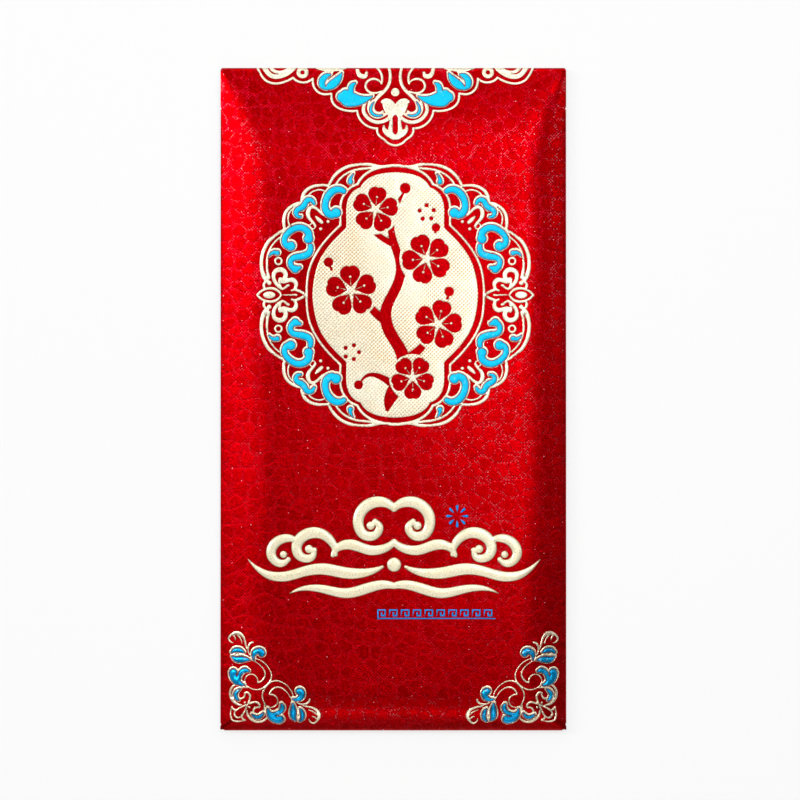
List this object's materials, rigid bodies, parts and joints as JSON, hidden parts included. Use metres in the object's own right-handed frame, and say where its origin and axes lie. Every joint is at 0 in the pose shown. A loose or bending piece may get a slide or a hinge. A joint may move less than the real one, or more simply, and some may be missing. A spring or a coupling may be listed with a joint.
{
  "type": "gift envelope",
  "caption": "Puffed red paper gift envelope with gold and blue foil ornaments, a note pocket and a hinged closing flap.",
  "frame": {"origin": "middle of the envelope's plan, on the surface that it lies on with its front up", "axes": "+X to the right seen from the front, +Y to the top fold, +Z out of the front"},
  "size_m": [0.088, 0.1686, 0.0065],
  "materials": {
    "red_paper": "red metallised paper with a fine pebble emboss",
    "gold_foil": "pale gold stamped foil",
    "blue_foil": "blue stamped foil",
    "glue": "dried paper glue"
  },
  "bodies": {
    "envelope": {"front_panel": "red_paper", "back_panel": "red_paper", "bottom_fold": "red_paper", "top_crease": "red_paper", "left_glue_flap": "red_paper", "right_glue_flap": "red_paper", "left_side_fold": "red_paper", "right_side_fold": "red_paper", "medallion_gold_ground": "gold_foil", "medallion_gold_frame": "gold_foil", "valance_gold": "gold_foil", "gold_cloud_band": "gold_foil", "left_corner_gold": "gold_foil", "right_corner_gold": "gold_foil", "medallion_blue_scrolls": "blue_foil", "valance_blue": "blue_foil", "blue_burst": "blue_foil", "blue_fret_line": "blue_foil", "left_corner_blue": "blue_foil", "right_corner_blue": "blue_foil", "left_glue_line": "glue", "right_glue_line": "glue"},
    "flap": {"closing_flap": "red_paper", "flap_gold_valance": "gold_foil", "flap_blue_valance": "blue_foil"}
  },
  "joints": [
    {"name": "flap_hinge", "type": "hinge", "parent": "envelope", "child": "flap", "pos_m": [0, 0.08332, 0.00103], "axis": [1, 0, 0], "range_deg": [0, 180]}
  ]
}
